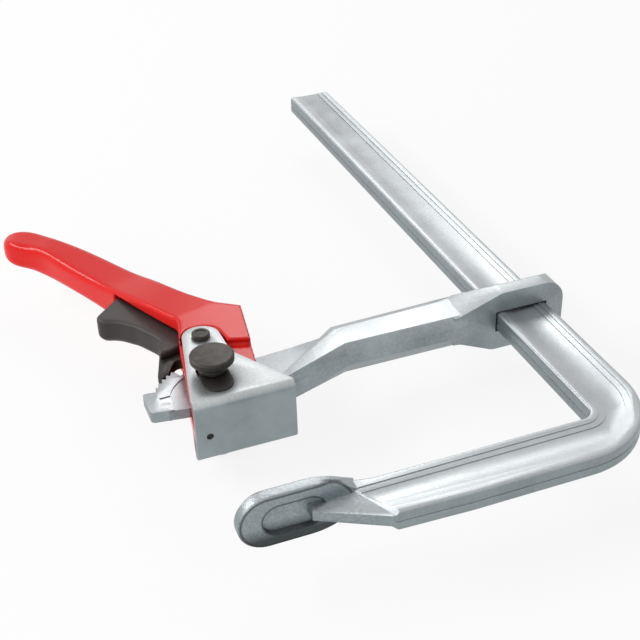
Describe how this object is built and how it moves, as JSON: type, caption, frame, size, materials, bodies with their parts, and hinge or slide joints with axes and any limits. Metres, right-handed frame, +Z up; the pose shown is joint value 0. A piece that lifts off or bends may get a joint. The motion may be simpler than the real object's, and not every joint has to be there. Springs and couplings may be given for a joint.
{
  "type": "quick_release_bar_clamp",
  "caption": "All-steel bar clamp lying flat, with a sliding arm, a red ratcheting lever, a dark trigger, a bent-sheet pressure shoe and an oval fixed pad.",
  "frame": {"origin": "centre of the pressure face of the fixed jaw", "axes": "+X along the rail in the opening direction, +Y from the rail out to the jaw tips, +Z up out of the flat side of the rail"},
  "size_m": [0.3339, 0.2036, 0.0436],
  "materials": {
    "zinc_plated_bar": "satin",
    "zinc_plated_forging": "satin",
    "zinc_plated_sheet": "satin",
    "bright_steel": "satin",
    "red_enamel": "gloss",
    "black_oxide_steel": "satin",
    "dark_plastic": "matte",
    "white_nylon": "matte"
  },
  "bodies": {
    "bow": {"bow": "zinc_plated_bar"},
    "slide": {"sliding_arm": "zinc_plated_forging", "pivot_bolt": "black_oxide_steel", "bolt_washer": "bright_steel", "lock_nut": "bright_steel", "lock_ring": "white_nylon"},
    "lever": {"lever": "red_enamel", "pivot_bushes": "bright_steel", "lever_rivet": "bright_steel", "spacer_upper": "bright_steel", "spacer_lower": "bright_steel", "trigger_spring": "bright_steel"},
    "shoe": {"pressure_shoe": "zinc_plated_sheet", "slot_liners": "dark_plastic"},
    "trigger": {"trigger": "dark_plastic", "pawl": "bright_steel"}
  },
  "joints": [
    {"name": "arm_slide", "type": "slide", "parent": "bow", "child": "slide", "axis": [1, 0, 0], "range_m": [-0.0426, 0.222]},
    {"name": "lever_hinge", "type": "hinge", "parent": "slide", "child": "lever", "pos_m": [0.0646, 0.0019, 0], "axis": [0, 0, 1], "range_deg": [-3, 20]},
    {"name": "shoe_swivel", "type": "hinge", "parent": "lever", "child": "shoe", "pos_m": [0.0883, -0.0005, 0], "axis": [0, 0, 1], "range_deg": [-2, 2]},
    {"name": "trigger_hinge", "type": "hinge", "parent": "lever", "child": "trigger", "pos_m": [0.0883, -0.0005, 0], "axis": [0, 0, 1], "range_deg": [-8, 0], "stiffness_Nm_per_rad": 0.1, "deforming": ["trigger_spring"]}
  ]
}
